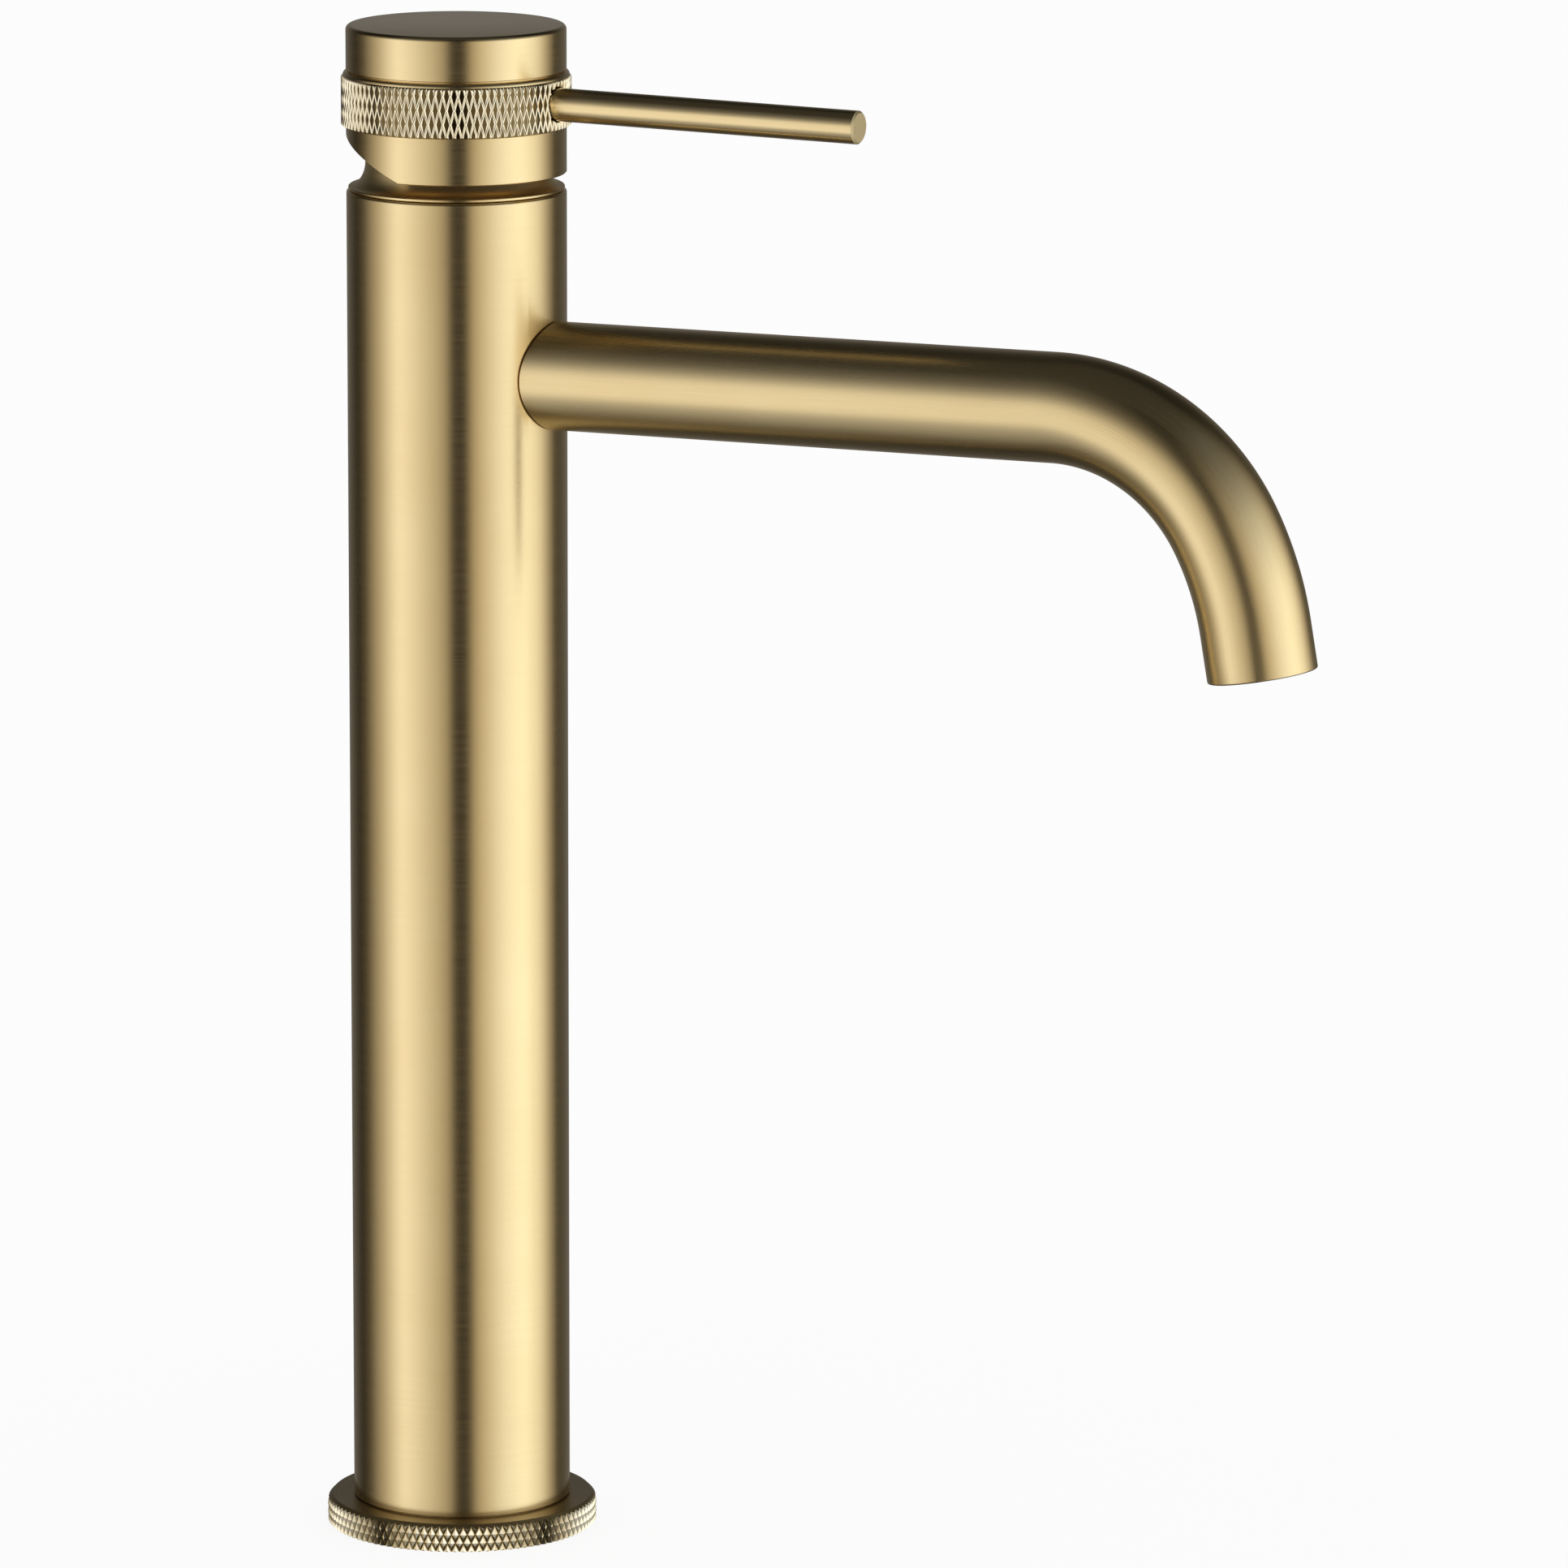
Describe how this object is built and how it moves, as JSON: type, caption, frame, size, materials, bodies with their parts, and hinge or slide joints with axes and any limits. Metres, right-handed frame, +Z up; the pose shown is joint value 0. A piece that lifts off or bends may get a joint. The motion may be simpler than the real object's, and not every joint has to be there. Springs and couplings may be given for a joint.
{
  "type": "bathroom mixer faucet",
  "caption": "Tall slim single-lever basin mixer: round column on a knurled foot, thin bent tube spout, knurled handle with a pin lever.",
  "frame": {"origin": "centre of the foot flange's underside, at deck level; the flat underside of the foot plug is 0.5 mm above it", "axes": "+Z up the column's axis, +X from the column towards the spout's outlet and the lever's tip"},
  "size_m": [0.2192, 0.056, 0.3138],
  "materials": {
    "brushed_brass": "satin, fine horizontal brushing, coated",
    "knurled_brass": "satin, cut diamond knurl, coated",
    "raw_brass": "machined, uncoated",
    "nitrile_rubber": "matt moulded",
    "alumina": "lapped",
    "cartridge_plastic": "moulded acetal",
    "stainless": "machined",
    "screen_plastic": "moulded"
  },
  "bodies": {
    "column": {"column_tube": "brushed_brass", "base_flange": "knurled_brass", "flange_seal": "nitrile_rubber", "base_plug": "raw_brass", "valve_body": "raw_brass", "bonnet": "brushed_brass", "cartridge_base": "cartridge_plastic", "port_seals": "nitrile_rubber", "disc_seals": "nitrile_rubber", "fixed_disc": "alumina", "cartridge_housing": "cartridge_plastic", "spout_tube": "brushed_brass", "spout_nipple": "raw_brass", "nipple_o_ring": "nitrile_rubber", "aerator_housing": "raw_brass", "aerator_screen": "screen_plastic", "aerator_insert": "screen_plastic", "aerator_washer": "nitrile_rubber"},
    "rotor": {"cartridge_rotor": "cartridge_plastic", "rotor_o_ring": "nitrile_rubber", "pivot_pin": "stainless"},
    "disc": {"disc_carrier": "cartridge_plastic", "moving_disc": "alumina"},
    "handle": {"handle_body": "brushed_brass", "stem": "stainless", "knurled_ring": "knurled_brass", "handle_cap": "brushed_brass", "lever": "brushed_brass", "set_screw": "stainless"}
  },
  "joints": [
    {"name": "temperature_turn", "type": "hinge", "parent": "column", "child": "rotor", "pos_m": [0, 0, 0.286], "axis": [0, 0, 1], "range_deg": [-50, 50]},
    {"name": "flow_lift", "type": "hinge", "parent": "rotor", "child": "handle", "pos_m": [0, 0, 0.286], "axis": [0, -1, 0], "range_deg": [0, 25]},
    {"name": "disc_slide", "type": "slide", "parent": "rotor", "child": "disc", "axis": [1, 0, 0], "range_m": [0, 0.0036]}
  ],
  "couplings": [
    {"joint": "disc_slide", "follows": "flow_lift", "m_per_rad": 0.00785}
  ]
}
